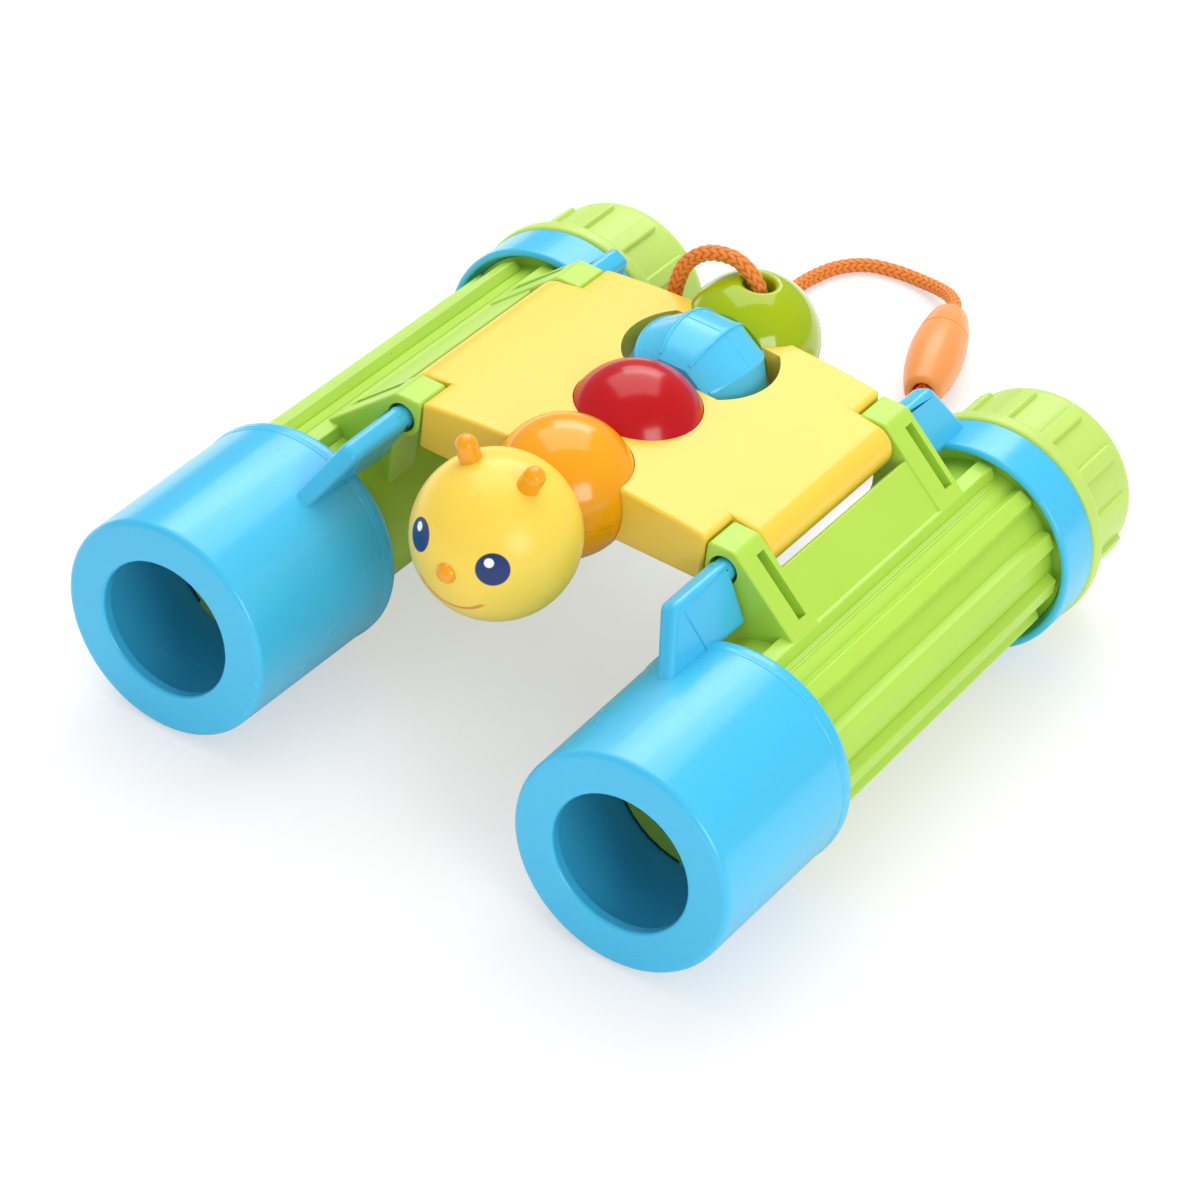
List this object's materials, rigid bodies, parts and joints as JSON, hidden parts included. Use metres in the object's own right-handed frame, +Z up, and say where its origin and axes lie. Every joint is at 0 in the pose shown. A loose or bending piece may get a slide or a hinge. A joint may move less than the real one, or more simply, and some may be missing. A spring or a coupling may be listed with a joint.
{
  "type": "toy binoculars",
  "caption": "Toy binoculars whose ribbed barrels swing on a bridge plate with a crawler of balls, turning focus wheel, twist eyepieces and a neck cord with a pull-apart connector.",
  "frame": {"origin": "on the floor, under the middle of the two opened barrels", "axes": "+Y from the front cups to the eyepieces along the barrels, +X to the right barrel, +Z up"},
  "size_m": [0.1477, 0.2116, 0.0649],
  "materials": {
    "blue_plastic": "glossy moulded plastic, sky blue",
    "green_plastic": "glossy moulded plastic, leaf green",
    "light_green_plastic": "glossy moulded plastic, light leaf green",
    "yellow_plastic": "satin moulded plastic, warm yellow",
    "orange_plastic": "glossy moulded plastic, orange",
    "red_plastic": "high gloss moulded plastic, red",
    "olive_plastic": "high gloss moulded plastic, yellow green",
    "cord": "braided polyester cord, orange",
    "connector_plastic": "slightly translucent moulded plastic, peach orange",
    "lens": "clear moulded lens",
    "steel": "zinc plated steel",
    "black_plastic": "matt black plastic"
  },
  "bodies": {
    "bridge": {"bridge_top_cover": "yellow_plastic", "bridge_bottom_cover": "yellow_plastic", "bridge_screws": "steel", "front_segment_upper": "orange_plastic", "front_segment_lower": "orange_plastic", "middle_segment": "red_plastic", "tail_bead": "olive_plastic", "spine_rod": "steel", "head": "yellow_plastic", "antennae": "orange_plastic", "nose": "orange_plastic", "lanyard_short_cord": "cord", "lanyard_long_cord": "cord", "lanyard_coil": "cord", "lanyard_loop_cord": "cord", "coil_tie": "black_plastic", "connector_socket": "connector_plastic", "connector_plug": "connector_plastic"},
    "focus_wheel": {"focus_wheel": "blue_plastic"},
    "left_barrel": {"left_barrel_tube": "green_plastic", "left_front_cup": "blue_plastic", "left_rear_band": "blue_plastic", "left_objective_lens": "lens", "left_objective_ring": "green_plastic"},
    "left_eyepiece": {"left_eyepiece": "light_green_plastic", "left_eyepiece_lens": "lens", "left_eyepiece_ring": "black_plastic"},
    "right_barrel": {"right_barrel_tube": "green_plastic", "right_front_cup": "blue_plastic", "right_rear_band": "blue_plastic", "right_objective_lens": "lens", "right_objective_ring": "green_plastic"},
    "right_eyepiece": {"right_eyepiece": "light_green_plastic", "right_eyepiece_lens": "lens", "right_eyepiece_ring": "black_plastic"}
  },
  "joints": [
    {"name": "left_hinge", "type": "hinge", "parent": "bridge", "child": "left_barrel", "pos_m": [-0.0321, 0, 0.046], "axis": [0, -1, 0], "range_deg": [0, 40]},
    {"name": "left_eyepiece_twist", "type": "hinge", "parent": "left_barrel", "child": "left_eyepiece", "pos_m": [-0.0452, 0.06, 0.0207], "axis": [0, 1, 0], "continuous": true},
    {"name": "right_hinge", "type": "hinge", "parent": "bridge", "child": "right_barrel", "pos_m": [0.0321, 0, 0.046], "axis": [0, 1, 0], "range_deg": [0, 40]},
    {"name": "right_eyepiece_twist", "type": "hinge", "parent": "right_barrel", "child": "right_eyepiece", "pos_m": [0.0452, 0.06, 0.0207], "axis": [0, 1, 0], "continuous": true},
    {"name": "focus_wheel_spin", "type": "hinge", "parent": "bridge", "child": "focus_wheel", "pos_m": [0, 0.0167, 0.04671], "axis": [0, 1, 0], "continuous": true}
  ]
}
